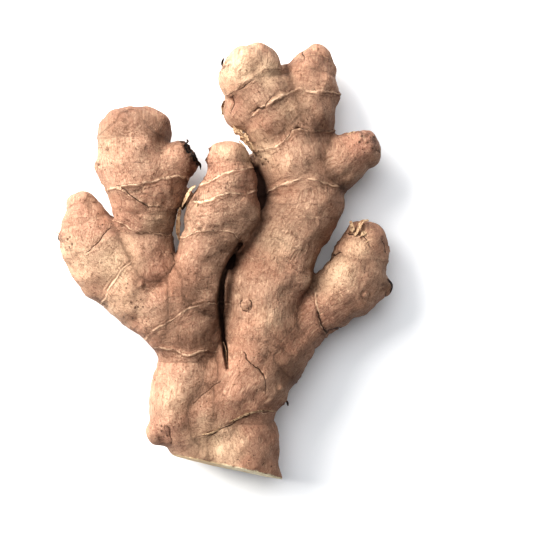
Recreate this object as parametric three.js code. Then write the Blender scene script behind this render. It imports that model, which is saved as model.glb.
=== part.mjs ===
// Ginger root: one hand as dug up, lying flat. Millimetres, +Z up, +Y towards the fingertips.
// The skin is the zero level of one distance formula: tapered lobes run along curved axes and
// melt into each other at their roots, and thin ring ridges cross them where scale leaves grew.
import * as THREE from 'three';

// Driving sizes
const CELL = 2.63;
const LOBE_BLEND = 2.2;
const BUD_BLEND = 1.2;
const CLEFT_BLEND = 0.8;
const RING_HEIGHT = 0.9;
const RING_HALF_WIDTH = 2.4;
const RING_WAIST = 0.3;
const RING_WAIST_WIDTH = 6;
const RING_FADE = 2.5;
const RING_CREASE_SHARE = 0.2;
const LUMP_HEIGHT = 0.55;
const LUMP_LENGTH = 17;
const FINE_LUMP_SHARE = 0.5;
const AXIS_STEPS = 5;
// Value given to a corner that is filled in, and how near a vertex may come to its cell's sides
const FILLED = 0.3;
const CELL_MARGIN = 0.06;
// Half the distance over which slopes are measured, and how much a diagonal's fit weighs on its choice
const PROBE = 0.15;
const CREST_WEIGHT = 8;
const LEAST_SLOPE = 0.2;
const CREST_LEAST_STRENGTH = 0.5;
// Middle of the hand in the plan below, which becomes the origin
const PLAN_CENTRE = new THREE.Vector2(-0.15, -0.6);
const HALF_EXTENT = new THREE.Vector3(61, 77, 40);

const SKIN_COLOUR = 0xcdab7c;
const SKIN_ROUGHNESS = 0.62;

// Lobes: stations [x, y, z, radius] along each axis, and how flat the lobe is against its width
const LOBES = {
  rightTrunk: {
    flat: 0.86,
    stations: [
      [6.5, -76, 14.2, 12], [6, -69, 14.4, 12.6], [4.5, -60, 14.6, 13], [2.5, -53, 14.4, 13.6],
      [4.2, -45, 15, 14.6], [8, -38, 15.2, 14.6], [11.5, -31, 15.2, 13.8], [12.9, -22, 15.2, 13.2],
      [13.5, -11, 15, 13.2], [18.2, 3, 14.8, 12.5], [21.8, 10, 14.2, 12.2], [27, 19.7, 13.6, 12.8],
      [24, 33, 12.8, 13.6], [21.7, 42, 12.2, 13.4],
    ],
  },
  leftTrunk: {
    flat: 0.88,
    stations: [
      [-5, -76, 10.5, 9], [-5, -66, 11, 9.6], [-10, -57, 12.5, 11], [-13.6, -49, 13.6, 12],
      [-11.8, -41, 14.8, 11.9], [-11.7, -34, 15.3, 10], [-12.2, -26.5, 16, 10.8],
      [-12.4, -19.7, 17, 11.4], [-10.4, -8.7, 18.4, 10.1],
    ],
  },
  middleTrunk: {
    flat: 0.88,
    stations: [
      [-1, -76, 11, 10], [-4, -60, 11.5, 12], [-5, -49, 13, 14.4], [-2, -41, 15.4, 11.5],
    ],
  },
  centreFinger: {
    flat: 0.92,
    stations: [
      [-9, -12, 18, 10.6], [-7.3, -0.3, 19.4, 9.4], [-4.7, 6.3, 20.4, 10], [-0.6, 14.7, 21.4, 12.2],
      [1.7, 23, 21.8, 9.2], [1.3, 32, 21.6, 7.2],
    ],
  },
  leftHand: {
    flat: 0.88,
    stations: [
      [-11.7, -23.7, 15.5, 11.4], [-21.7, -14.7, 14.4, 12.6], [-33.3, -5.3, 12.1, 13.3],
      [-42.3, 3, 12.2, 12.2], [-45.6, 10.6, 12.4, 8.8], [-47.2, 16.4, 12.2, 6.2],
    ],
  },
  leftMiddleFinger: {
    flat: 0.9,
    stations: [
      [-24.3, -4.3, 15, 10.6], [-27, 10.3, 16, 9], [-26.3, 17, 16.5, 11.6],
      [-26.3, 23.7, 16.6, 13.5], [-29.7, 31.3, 16, 12.6], [-30.3, 38.6, 15, 11.4],
    ],
  },
  leftMiddleEnd: {
    flat: 1,
    stations: [[-33.5, 41.6, 14.4, 8.6], [-26.4, 42.2, 15, 8.3]],
  },
  topLeftLobe: {
    flat: 0.92,
    stations: [
      [18.5, 46, 13, 12], [12.3, 54, 14.5, 11], [7.8, 60.3, 15.5, 10.2], [10.6, 62.2, 15.6, 9.4],
    ],
  },
  topRightLobe: {
    flat: 0.95,
    stations: [
      [25, 44.7, 12.4, 11], [27.6, 54.5, 11.6, 10.2], [28.9, 61.3, 11, 8.4], [30.5, 65.4, 10.8, 6],
    ],
  },
  rightFinger: {
    flat: 0.95,
    stations: [[28.3, 27, 13.5, 9.3], [37.5, 32, 14.2, 9], [45, 36, 14.8, 7]],
  },
  rightLowerFinger: {
    flat: 0.92,
    stations: [
      [15, -31, 15, 12.4], [23, -23, 14, 9.2], [31, -16.9, 13, 8.9], [37, -12.5, 12.4, 10],
      [42, -8, 12.2, 11], [45, -1, 12, 9.9], [46.2, 4.8, 12, 8.1],
    ],
  },
};

// The cut end of the trunk, a plane that leans back a little, and the dried end of the side bud
const TRUNK_CUT = { point: [3.7, -70, 14], normal: [-0.21, -0.96, 0.14] };
const BUD_CUT = { point: [-11, 35, 18.6], normal: [0.85, 0.5, 0.15] };

// Buds, knobs, dry scales and the low floors of gaps: stations as for the lobes, joined to them
// with a tighter crease
const BUDS = {
  sideBud: { flat: 1, cut: BUD_CUT, stations: [[-21.7, 26.3, 18, 8], [-15.3, 32.3, 18.6, 6.8]] },
  dryScales: { flat: 1, stations: [[-12.6, 22, 17, 1.5], [-10.4, 19.4, 18, 1.7], [-9, 16, 18.4, 1.4]] },
  topScar: { flat: 1, stations: [[-1.6, 66, 16, 1.4], [-1.8, 62.5, 16, 1.6]] },
  trunkKnob: { flat: 1, stations: [[-18.5, -57, 15, 4.8], [-21.6, -57.4, 15, 4.7]] },
  leftBump: { flat: 1, stations: [[-39.6, 30.7, 16, 3], [-40.6, 30.7, 16, 3]] },
  leftKnob: { flat: 1, stations: [[-51, 6.6, 12.6, 3.6], [-53, 7.2, 12.6, 2.8]] },
  rightLowerBud: { flat: 1, stations: [[48.5, -9.5, 12, 5], [52, -9, 12, 3.8]] },
  bridge: { flat: 0.9, stations: [[4.6, 9.6, 18.2, 6], [13, 8, 16, 6.8]] },
  topCrotch: { flat: 0.95, stations: [[19.5, 57, 11, 7], [20.3, 60.2, 10.5, 5.2]] },
  topSkirt: { flat: 0.95, stations: [[9.5, 50.5, 14, 8.5], [6, 49.3, 14, 6.8]] },
  stemBud: { flat: 0.8, stations: [[22, -4, 20.5, 5.6], [24, -6.5, 20, 5.2]] },
  stemKnob: { flat: 1, stations: [[8.6, 32.3, 15, 1.8], [9.6, 32, 15, 1.8]] },
  scaleStrand: { flat: 1, stations: [[0.6, 44.4, 15, 1.7], [4, 41, 15.4, 1.9], [8.6, 35.6, 15.4, 1.9]] },
  underBudLeft: { flat: 0.9, stations: [[-24, -12, 7, 5.5], [-24.5, -14, 5, 4]] },
  underBudRight: { flat: 0.9, stations: [[25, 8, 6, 5.5], [27.5, 9.5, 4.4, 4]] },
  gapFloor: { flat: 1, stations: [[12, 10, 7.5, 5.6], [12.4, 20, 7.4, 5.4], [11, 31, 8.4, 5]] },
  cleftFloor: { flat: 1, stations: [[2, -1, 9, 6], [-0.6, -12, 8.4, 6.2], [0, -27, 8.6, 6.4]] },
};

// Clefts: upright slots cut between neighbouring lobes, given as thin and very tall lobes
const CLEFTS = {
  trunkCleft: {
    flat: 9,
    stations: [
      [5.3, 5, 25, 1], [2.5, 0.5, 24.5, 1.3], [-0.2, -5.5, 24.5, 1.5], [-1.2, -13.7, 24.5, 1.6],
      [-1, -21, 24.5, 1.6], [0.2, -30, 25, 1.5], [1, -36, 27, 1],
    ],
  },
  leftCleft: {
    flat: 9,
    stations: [[-15.2, 16, 16, 1.2], [-15.8, 9, 16, 1.5], [-16.4, 2.5, 18, 1.1]],
  },
  handCleft: {
    flat: 9,
    stations: [[-41, 23, 14, 1.8], [-39, 18, 15, 1.5], [-35.6, 11.4, 20, 1]],
  },
  rightCleft: {
    flat: 9,
    stations: [[39, 12, 14, 1.6], [35.4, 4.4, 14, 1.5], [32, -3, 16, 1.2]],
  },
};

// Rings: the lobes that each one goes round, and its line seen from above
const RINGS = [
  { on: ['leftMiddleFinger'], line: [[-42, 23.5], [-31.3, 24.3], [-20, 26.3], [-10, 25.3]] },
  { on: ['leftMiddleFinger'], line: [[-39, 22], [-34.3, 21.7], [-29, 18.7], [-25, 17.3], [-14, 16.3]] },
  { on: ['leftMiddleFinger', 'leftMiddleEnd'], line: [[-45, 36.5], [-29, 36.3], [-24, 36.7], [-16, 37.6]] },
  { on: ['leftMiddleFinger'], line: [[-40, 14], [-36, 12.5], [-29, 9.3], [-20, 7.5], [-14, 7.7]] },
  { on: ['leftHand'], line: [[-22, 10], [-25, 5.7], [-30, 1.3], [-34.3, -3.7], [-39, -11.3], [-43, -18]] },
  { on: ['leftHand'], line: [[-33, 14], [-37.3, 10.3], [-42.3, 4.7], [-46, 2], [-57, -2]] },
  { on: ['leftHand'], line: [[-54, 13], [-46, 13.6], [-38, 13]] },
  { on: ['leftHand', 'leftTrunk'], line: [[-15, 5], [-16, -1], [-20, -6.3], [-25, -11], [-32, -20]] },
  { on: ['leftTrunk', 'leftHand', 'centreFinger'],
    line: [[3, -14.5], [-2.3, -14.3], [-11.7, -16.3], [-18.3, -20.3], [-24.3, -24], [-30, -29]] },
  { on: ['leftTrunk'], line: [[-24, -29], [-11.7, -31.3], [3, -30]] },
  { on: ['leftTrunk', 'middleTrunk', 'rightTrunk'],
    line: [[24, -49.5], [10.3, -50], [3.3, -52.7], [-4.3, -57], [-16, -59], [-28, -59]] },
  { on: ['leftTrunk', 'middleTrunk', 'rightTrunk'],
    line: [[24, -36], [8, -37.5], [-4, -41], [-14, -47], [-28, -54]] },
  { on: ['rightTrunk'], line: [[10, 22], [13, 22.5], [20.7, 24.3], [25.7, 26.3], [32.3, 25.3], [42, 23.7]] },
  { on: ['rightTrunk', 'topLeftLobe', 'topRightLobe'],
    line: [[5, 36], [16.7, 37], [21.7, 40], [24, 42], [37, 42.3]] },
  { on: ['topRightLobe', 'topLeftLobe'], line: [[10, 48], [16.7, 52], [20.7, 54.3], [25, 56], [39, 55.5]] },
  { on: ['topLeftLobe'], line: [[-5, 53], [5, 55.7], [9.3, 59], [11.7, 62.3], [16.7, 63], [23, 64]] },
  { on: ['topRightLobe'], line: [[22, 66.8], [30, 67.4], [38, 67]] },
  { on: ['rightTrunk'], line: [[8, 15.5], [18.3, 14.7], [27, 13.6], [38, 15]] },
  { on: ['rightTrunk'], line: [[2, 1.5], [11, -1], [18.3, 0], [26.7, -3.7], [34, -6]] },
  { on: ['rightTrunk'], line: [[-1, -14.5], [10, -13.7], [16.7, -12.3], [28, -10.5]] },
  { on: ['rightTrunk', 'rightLowerFinger'], line: [[-2, -25], [10, -26.5], [20, -30], [27, -38]] },
  { on: ['rightLowerFinger'], line: [[28, -4], [30.3, -13.7], [32.5, -23], [36, -30]] },
  { on: ['rightLowerFinger'], line: [[34, 3], [43, 0.5], [56, -1]] },
  { on: ['rightFinger'], line: [[37, 44], [40.5, 34], [40, 23]] },
  { on: ['centreFinger'], line: [[-14, 9], [-6, 10.5], [3, 9], [13, 10]] },
  { on: ['centreFinger'], line: [[-10, 20], [1, 20.6], [12, 19]] },
  { on: ['centreFinger'], line: [[-8, 28.5], [1, 30], [10, 29]] },
];

// Short spans of one lobe: its axis as a smooth curve, with the radius running along it
function lobeSpans({ flat, cut, stations }) {
  const axis = new THREE.CatmullRomCurve3(stations.map(([x, y, z]) => new THREE.Vector3(x, y, z / flat)));
  const count = (stations.length - 1) * AXIS_STEPS;
  const spans = [];
  for (let i = 0; i < count; i += 1) {
    const start = axis.getPoint(i / count);
    const along = axis.getPoint((i + 1) / count).sub(start);
    const r0 = radiusAt(stations, i / AXIS_STEPS);
    const r1 = radiusAt(stations, (i + 1) / AXIS_STEPS);
    spans.push({ start, along, r0, r1 });
  }
  return { flat, spans, cut: cut && cutPlane(cut) };
}

// The radius between two stations, eased so that it has no kink
function radiusAt(stations, place) {
  const index = Math.min(Math.floor(place), stations.length - 2);
  const t = place - index;
  const ease = t * t * (3 - 2 * t);
  return THREE.MathUtils.lerp(stations[index][3], stations[index + 1][3], ease);
}

function cutPlane({ point, normal }) {
  return new THREE.Plane().setFromNormalAndCoplanarPoint(
    new THREE.Vector3(...normal).normalize(),
    new THREE.Vector3(...point),
  );
}

function distanceToLobe({ flat, spans, cut }, x, y, z) {
  let nearest = Infinity;
  for (const { start, along, r0, r1 } of spans) {
    const dx = x - start.x;
    const dy = y - start.y;
    const dz = z / flat - start.z;
    const reach = (dx * along.x + dy * along.y + dz * along.z) / along.lengthSq();
    const t = THREE.MathUtils.clamp(reach, 0, 1);
    const gap = Math.hypot(dx - t * along.x, dy - t * along.y, dz - t * along.z);
    nearest = Math.min(nearest, gap - r0 - t * (r1 - r0));
  }
  const lobe = nearest * Math.min(flat, 1);
  return cut ? Math.max(lobe, cut.distanceToPoint(new THREE.Vector3(x, y, z))) : lobe;
}

// Smooth union of two distances over a blend width
function blend(a, b, width) {
  const overlap = Math.max(width - Math.abs(a - b), 0) / width;
  return Math.min(a, b) - overlap * overlap * width * 0.25;
}

const lobes = Object.entries(LOBES).map(([name, lobe]) => ({ name, ...lobeSpans(lobe) }));
const buds = Object.values(BUDS).map(lobeSpans);
const clefts = Object.values(CLEFTS).map(lobeSpans);
const trunkCut = cutPlane(TRUNK_CUT);

// Low lumps all over the skin: waves that cross each other in slanted directions [x, y, z, phase]
const BROAD_WAVES = [[1, 0.4, 0, 1.3], [0, 0.9, -0.3, 0.4]];
const FINE_WAVES = [[1.7, 0, -1.1, 2.1], [0.6, 1.9, 0, 5.2]];

function crossedWaves(waves, x, y, z) {
  const turn = (2 * Math.PI) / LUMP_LENGTH;
  const heights = waves.map(([a, b, c, phase]) => Math.sin(turn * (a * x + b * y + c * z) + phase));
  return heights[0] * heights[1];
}

function lump(x, y, z) {
  const broad = crossedWaves(BROAD_WAVES, x, y, z);
  const fine = crossedWaves(FINE_WAVES, x, y, z);
  return LUMP_HEIGHT * (broad + FINE_LUMP_SHARE * fine);
}

// How far a point lies, seen from above, from a ring's line
function distanceToLine(line, x, y) {
  let nearest = Infinity;
  for (let i = 0; i + 1 < line.length; i += 1) {
    const [x0, y0] = line[i];
    const ax = line[i + 1][0] - x0;
    const ay = line[i + 1][1] - y0;
    const t = THREE.MathUtils.clamp(((x - x0) * ax + (y - y0) * ay) / (ax * ax + ay * ay), 0, 1);
    nearest = Math.min(nearest, Math.hypot(x - x0 - t * ax, y - y0 - t * ay));
  }
  return nearest;
}

// A ring stays on its own lobes: it fades in the crease towards another lobe, and is gone beyond it
function ringStrength(ring, distances) {
  let own = Infinity;
  let other = Infinity;
  for (const { name } of lobes) {
    if (ring.on.includes(name)) {
      own = Math.min(own, distances[name]);
    } else {
      other = Math.min(other, distances[name]);
    }
  }
  return THREE.MathUtils.clamp(RING_CREASE_SHARE + (other - own) / RING_FADE, 0, 1);
}

function rings(x, y, distances) {
  let ridge = 0;
  let waist = 0;
  for (const ring of RINGS) {
    const away = distanceToLine(ring.line, x, y);
    if (away < RING_WAIST_WIDTH) {
      const strength = ringStrength(ring, distances);
      ridge = Math.max(ridge, strength * Math.max(1 - away / RING_HALF_WIDTH, 0));
      waist = Math.max(waist, strength * (1 - away / RING_WAIST_WIDTH));
    }
  }
  return RING_HEIGHT * ridge - RING_WAIST * waist;
}

// The skin: below zero inside, above zero outside. Without the floor it is the hand's own round form
function roundBody(x, y, z) {
  const distances = {};
  let body = Infinity;
  for (const lobe of lobes) {
    const d = distanceToLobe(lobe, x, y, z);
    distances[lobe.name] = d;
    body = body === Infinity ? d : blend(body, d, LOBE_BLEND);
  }
  body -= lump(x, y, z) + rings(x, y, distances);
  for (const bud of buds) {
    body = blend(body, distanceToLobe(bud, x, y, z), BUD_BLEND);
  }
  for (const cleft of clefts) {
    body = -blend(-body, distanceToLobe(cleft, x, y, z), CLEFT_BLEND);
  }
  return Math.max(body, trunkCut.distanceToPoint(new THREE.Vector3(x, y, z)));
}

function body(x, y, z) {
  return Math.max(roundBody(x, y, z), -z);
}

// Grid of corner values. The ground plane runs through the middle of the lowest layer of cells
const size = HALF_EXTENT.clone().multiplyScalar(2 / CELL).ceil();
const [nx, ny, nz] = [size.x + 1, size.y + 1, Math.ceil(HALF_EXTENT.z / CELL) + 2];
const origin = new THREE.Vector3(-HALF_EXTENT.x, -HALF_EXTENT.y, -CELL / 2);

function gridIndex(i, j, k) {
  return (k * ny + j) * nx + i;
}

function cornerValues() {
  const values = new Float64Array(nx * ny * nz);
  for (let k = 0; k < nz; k += 1) {
    for (let j = 0; j < ny; j += 1) {
      for (let i = 0; i < nx; i += 1) {
        values[gridIndex(i, j, k)] = body(origin.x + i * CELL, origin.y + j * CELL, origin.z + k * CELL);
      }
    }
  }
  return values;
}

const CORNERS = [
  [0, 0, 0], [1, 0, 0], [0, 1, 0], [1, 1, 0], [0, 0, 1], [1, 0, 1], [0, 1, 1], [1, 1, 1],
];

function differByOne(a, b) {
  return Math.abs(a[0] - b[0]) + Math.abs(a[1] - b[1]) + Math.abs(a[2] - b[2]) === 1;
}

const CORNER_IDS = CORNERS.map((corner, id) => id);
const CELL_EDGES = CORNER_IDS.flatMap((a) => CORNER_IDS.slice(a + 1)
  .filter((b) => differByOne(CORNERS[a], CORNERS[b]))
  .map((b) => [a, b]));

function cellCornerIndices(i, j, k) {
  return CORNERS.map(([a, b, c]) => gridIndex(i + a, j + b, k + c));
}

function forEachCell(visit) {
  for (let k = 0; k + 1 < nz; k += 1) {
    for (let j = 0; j + 1 < ny; j += 1) {
      for (let i = 0; i + 1 < nx; i += 1) {
        visit(i, j, k);
      }
    }
  }
}

// Whether the marked corners of a cell hang together along its edges
function connected(marked) {
  const found = new Set([marked[0]]);
  let grew = true;
  while (grew) {
    grew = false;
    for (const [a, b] of CELL_EDGES) {
      if (marked.includes(a) && marked.includes(b) && found.has(a) !== found.has(b)) {
        found.add(a).add(b);
        grew = true;
      }
    }
  }
  return found.size === marked.length;
}

// A cell is plain when its solid corners are one group and its empty corners are another
function isPlain(isSolid) {
  const solid = CORNER_IDS.filter((id) => isSolid[id]);
  const empty = CORNER_IDS.filter((id) => !isSolid[id]);
  return solid.length === 0 || empty.length === 0 || (connected(solid) && connected(empty));
}

// Narrow gaps that the grid can't hold are filled a corner at a time until every cell is plain
function fillTightGaps(values) {
  let filled = true;
  while (filled) {
    filled = false;
    forEachCell((i, j, k) => {
      const indices = cellCornerIndices(i, j, k);
      if (!isPlain(indices.map((index) => values[index] < 0))) {
        const empty = indices.filter((index) => values[index] >= 0);
        const closest = empty.reduce((best, index) => (values[index] < values[best] ? index : best));
        values[closest] = -FILLED;
        filled = true;
      }
    });
  }
}

// Where a ring's line passes close by, the point moves on to it, so that the crest is a row of vertices
function moveToCrest(point) {
  const distances = {};
  for (const lobe of lobes) {
    distances[lobe.name] = distanceToLobe(lobe, point.x, point.y, point.z);
  }
  const ring = RINGS.find(({ line, on }) => distanceToLine(line, point.x, point.y) < CELL
    && ringStrength({ on }, distances) > CREST_LEAST_STRENGTH);
  if (ring) {
    const away = (x, y) => distanceToLine(ring.line, x, y);
    const { x, y } = point;
    const slopeX = away(x + PROBE, y) - away(x - PROBE, y);
    const slopeY = away(x, y + PROBE) - away(x, y - PROBE);
    const steepness = Math.hypot(slopeX, slopeY) || 1;
    point.x -= (away(x, y) * slopeX) / steepness;
    point.y -= (away(x, y) * slopeY) / steepness;
  }
}

// One step of the point towards the skin along the steepest way
function moveToSkin(point, formula) {
  const { x, y, z } = point;
  const value = formula(x, y, z);
  const slope = new THREE.Vector3(
    formula(x + PROBE, y, z) - formula(x - PROBE, y, z),
    formula(x, y + PROBE, z) - formula(x, y - PROBE, z),
    formula(x, y, z + PROBE) - formula(x, y, z - PROBE),
  ).divideScalar(2 * PROBE);
  point.addScaledVector(slope, -value / Math.max(slope.lengthSq(), LEAST_SLOPE));
}

// The mean of the places where the skin crosses a cell's edges, or null where it misses the cell
function meanCrossing(values, indices) {
  const crossed = CELL_EDGES.filter(([a, b]) => (values[indices[a]] < 0) !== (values[indices[b]] < 0));
  if (crossed.length === 0) {
    return null;
  }
  const mean = new THREE.Vector3();
  for (const [a, b] of crossed) {
    const share = values[indices[a]] / (values[indices[a]] - values[indices[b]]);
    mean.add(new THREE.Vector3(...CORNERS[a]).lerp(new THREE.Vector3(...CORNERS[b]), share));
  }
  return mean.divideScalar(crossed.length);
}

// The vertex of one cell, moved on to ring crests and the skin but kept inside its own cell
function cellVertex(values, i, j, k) {
  const point = meanCrossing(values, cellCornerIndices(i, j, k));
  if (point === null) {
    return null;
  }
  const corner = new THREE.Vector3(i, j, k).multiplyScalar(CELL).add(origin);
  const lowest = corner.clone().addScalar(CELL * CELL_MARGIN);
  const highest = corner.clone().addScalar(CELL * (1 - CELL_MARGIN));
  point.multiplyScalar(CELL).add(corner);
  moveToCrest(point);
  point.clamp(lowest, highest);
  moveToSkin(point, body);
  point.clamp(lowest, highest);
  if (k === 0) {
    point.z = 0;
  }
  return point;
}

// How far a diagonal is from the skin at its middle, with its own length as the lesser measure
function diagonalCost(p, q) {
  const middle = p.clone().add(q).multiplyScalar(0.5);
  return p.distanceTo(q) + CREST_WEIGHT * Math.abs(body(middle.x, middle.y, middle.z));
}

function splitQuad(positions, [a, b, c, d]) {
  const costAC = diagonalCost(positions[a], positions[c]);
  const costBD = diagonalCost(positions[b], positions[d]);
  return costAC < costBD ? [a, b, c, a, c, d] : [b, c, d, b, d, a];
}

// The four cells round the grid edge that leaves a corner along one axis, in turning order
const AXES = [[1, 0, 0], [0, 1, 0], [0, 0, 1]];
const ROUND_EDGE = [[1, 1], [0, 1], [0, 0], [1, 0]];

function cellsRoundEdge(i, j, k, axis) {
  const u = AXES[(axis + 1) % 3];
  const v = AXES[(axis + 2) % 3];
  return ROUND_EDGE.map(([p, q]) => gridIndex(
    i - p * u[0] - q * v[0],
    j - p * u[1] - q * v[1],
    k - p * u[2] - q * v[2],
  ));
}

// One vertex in every cell that the skin passes through, and two triangles round every crossed edge
function skinGeometry() {
  const values = cornerValues();
  fillTightGaps(values);
  const positions = [];
  const vertexOfCell = new Map();
  forEachCell((i, j, k) => {
    const point = cellVertex(values, i, j, k);
    if (point) {
      vertexOfCell.set(gridIndex(i, j, k), positions.length);
      positions.push(point);
    }
  });
  const triangles = [];
  forEachCell((i, j, k) => {
    const startsSolid = values[gridIndex(i, j, k)] < 0;
    AXES.forEach(([a, b, c], axis) => {
      if (startsSolid !== values[gridIndex(i + a, j + b, k + c)] < 0) {
        const quad = cellsRoundEdge(i, j, k, axis).map((cell) => vertexOfCell.get(cell));
        triangles.push(...splitQuad(positions, startsSolid ? quad : quad.reverse()));
      }
    });
  });
  const centred = positions.flatMap(({ x, y, z }) => [x - PLAN_CENTRE.x, y - PLAN_CENTRE.y, z]);
  const geometry = new THREE.BufferGeometry();
  geometry.setAttribute('position', new THREE.Float32BufferAttribute(centred, 3));
  geometry.setIndex(triangles);
  geometry.computeVertexNormals();
  return geometry;
}

const skin = new THREE.MeshStandardMaterial({ color: SKIN_COLOUR, roughness: SKIN_ROUGHNESS, metalness: 0 });
const gingerRoot = new THREE.Mesh(skinGeometry(), skin);
gingerRoot.name = 'ginger_root';
const ginger = new THREE.Group();
ginger.add(gingerRoot);

export default ginger;
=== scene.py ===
"""A hand of ginger, lying on a white surface and seen from above.

The skin is the zero level of one distance formula, as in the CAD part: tapered lobes along curved
axes, melted into each other at their roots. It is drawn here on a finer grid, and then gets its
relief: ring scars, lengthwise wrinkles, cracks, pits and root scars. The formula works in
millimetres, and the finished mesh is scaled to metres.
"""
import math

import bpy
import numpy as np
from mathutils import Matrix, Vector


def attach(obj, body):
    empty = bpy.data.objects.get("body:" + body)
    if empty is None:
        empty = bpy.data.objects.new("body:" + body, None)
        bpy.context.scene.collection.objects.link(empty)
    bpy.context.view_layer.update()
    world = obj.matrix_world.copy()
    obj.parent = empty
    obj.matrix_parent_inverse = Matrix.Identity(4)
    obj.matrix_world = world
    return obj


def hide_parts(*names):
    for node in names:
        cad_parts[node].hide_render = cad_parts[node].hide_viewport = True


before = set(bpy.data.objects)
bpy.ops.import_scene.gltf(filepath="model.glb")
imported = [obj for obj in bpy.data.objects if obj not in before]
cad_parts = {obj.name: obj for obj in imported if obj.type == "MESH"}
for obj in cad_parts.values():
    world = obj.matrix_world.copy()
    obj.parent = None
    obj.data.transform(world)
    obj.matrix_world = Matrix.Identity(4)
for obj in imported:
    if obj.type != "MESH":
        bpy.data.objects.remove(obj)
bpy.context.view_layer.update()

MM = 0.001
GRID_PITCH = 0.68
LOBE_BLEND = 2.2
BUD_BLEND = 1.2
CLEFT_BLEND = 0.8
AXIS_STEPS = 7
LUMP_HEIGHT = 0.55
LUMP_LENGTH = 17
FINE_LUMP_SHARE = 0.5
PLAN_CENTRE = np.array([-0.15, -0.6, 0.0])
GRID_LOW = np.array([-60.0, -78.0, -0.4])
GRID_HIGH = np.array([60.0, 78.0, 39.0])
# How near to a lobe's box its distance is worked out
REACH = 6.0
# The heights above which cracks and eyes, and scars, are drawn
UPPER_SIDE = 9.0
SCAR_SIDE = 5.0

# Lobes: how flat each is against its width, and stations (x, y, z, radius) along its axis
LOBES = {
    "right_trunk": (0.86, [
        (6.5, -76, 14.2, 12), (6, -69, 14.4, 12.6), (4.5, -60, 14.6, 13), (2.5, -53, 14.4, 13.6),
        (4.2, -45, 15, 14.6), (8, -38, 15.2, 14.6), (11.5, -31, 15.2, 13.8), (12.9, -22, 15.2, 13.2),
        (13.5, -11, 15, 13.2), (18.2, 3, 14.8, 12.5), (21.8, 10, 14.2, 12.2), (27, 19.7, 13.6, 12.8),
        (24, 33, 12.8, 13.6), (21.7, 42, 12.2, 13.4)]),
    "left_trunk": (0.88, [
        (-5, -76, 10.5, 9), (-5, -66, 11, 9.6), (-10, -57, 12.5, 11), (-13.6, -49, 13.6, 12),
        (-11.8, -41, 14.8, 11.9), (-11.7, -34, 15.3, 10), (-12.2, -26.5, 16, 10.8),
        (-12.4, -19.7, 17, 11.4), (-10.4, -8.7, 18.4, 10.1)]),
    "middle_trunk": (0.88, [
        (-1, -76, 11, 10), (-4, -60, 11.5, 12), (-5, -49, 13, 14.4), (-2, -41, 15.4, 11.5)]),
    "centre_finger": (0.92, [
        (-9, -12, 18, 10.6), (-7.3, -0.3, 19.4, 9.4), (-4.7, 6.3, 20.4, 10), (-0.6, 14.7, 21.4, 12.2),
        (1.7, 23, 21.8, 9.2), (1.3, 32, 21.6, 7.2)]),
    "left_hand": (0.88, [
        (-11.7, -23.7, 15.5, 11.4), (-21.7, -14.7, 14.4, 12.6), (-33.3, -5.3, 12.1, 13.3),
        (-42.3, 3, 12.2, 12.2), (-45.6, 10.6, 12.4, 8.8), (-47.2, 16.4, 12.2, 6.2)]),
    "left_middle_finger": (0.9, [
        (-24.3, -4.3, 15, 10.6), (-27, 10.3, 16, 9), (-26.3, 17, 16.5, 11.6),
        (-26.3, 23.7, 16.6, 13.5), (-29.7, 31.3, 16, 12.6), (-30.3, 38.6, 15, 11.4)]),
    "left_middle_end": (1, [(-33.5, 41.6, 14.4, 8.6), (-26.4, 42.2, 15, 8.3)]),
    "top_left_lobe": (0.92, [
        (18.5, 46, 13, 12), (12.3, 54, 14.5, 11), (7.8, 60.3, 15.5, 10.2), (10.6, 62.2, 15.6, 9.4)]),
    "top_right_lobe": (0.95, [
        (25, 44.7, 12.4, 11), (27.6, 54.5, 11.6, 10.2), (28.9, 61.3, 11, 8.4), (30.5, 65.4, 10.8, 6)]),
    "right_finger": (0.95, [(28.3, 27, 13.5, 9.3), (37.5, 32, 14.2, 9), (45, 36, 14.8, 7)]),
    "right_lower_finger": (0.92, [
        (15, -31, 15, 12.4), (23, -23, 14, 9.2), (31, -16.9, 13, 8.9), (37, -12.5, 12.4, 10),
        (42, -8, 12.2, 11), (45, -1, 12, 9.9), (46.2, 4.8, 12, 8.1)]),
}

# Planes that cut the end of the trunk and the dried side bud: a point and the way out
TRUNK_CUT = ((3.7, -70, 14), (-0.21, -0.96, 0.14))
BUD_CUT = ((-11, 35, 18.6), (0.85, 0.5, 0.15))

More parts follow.
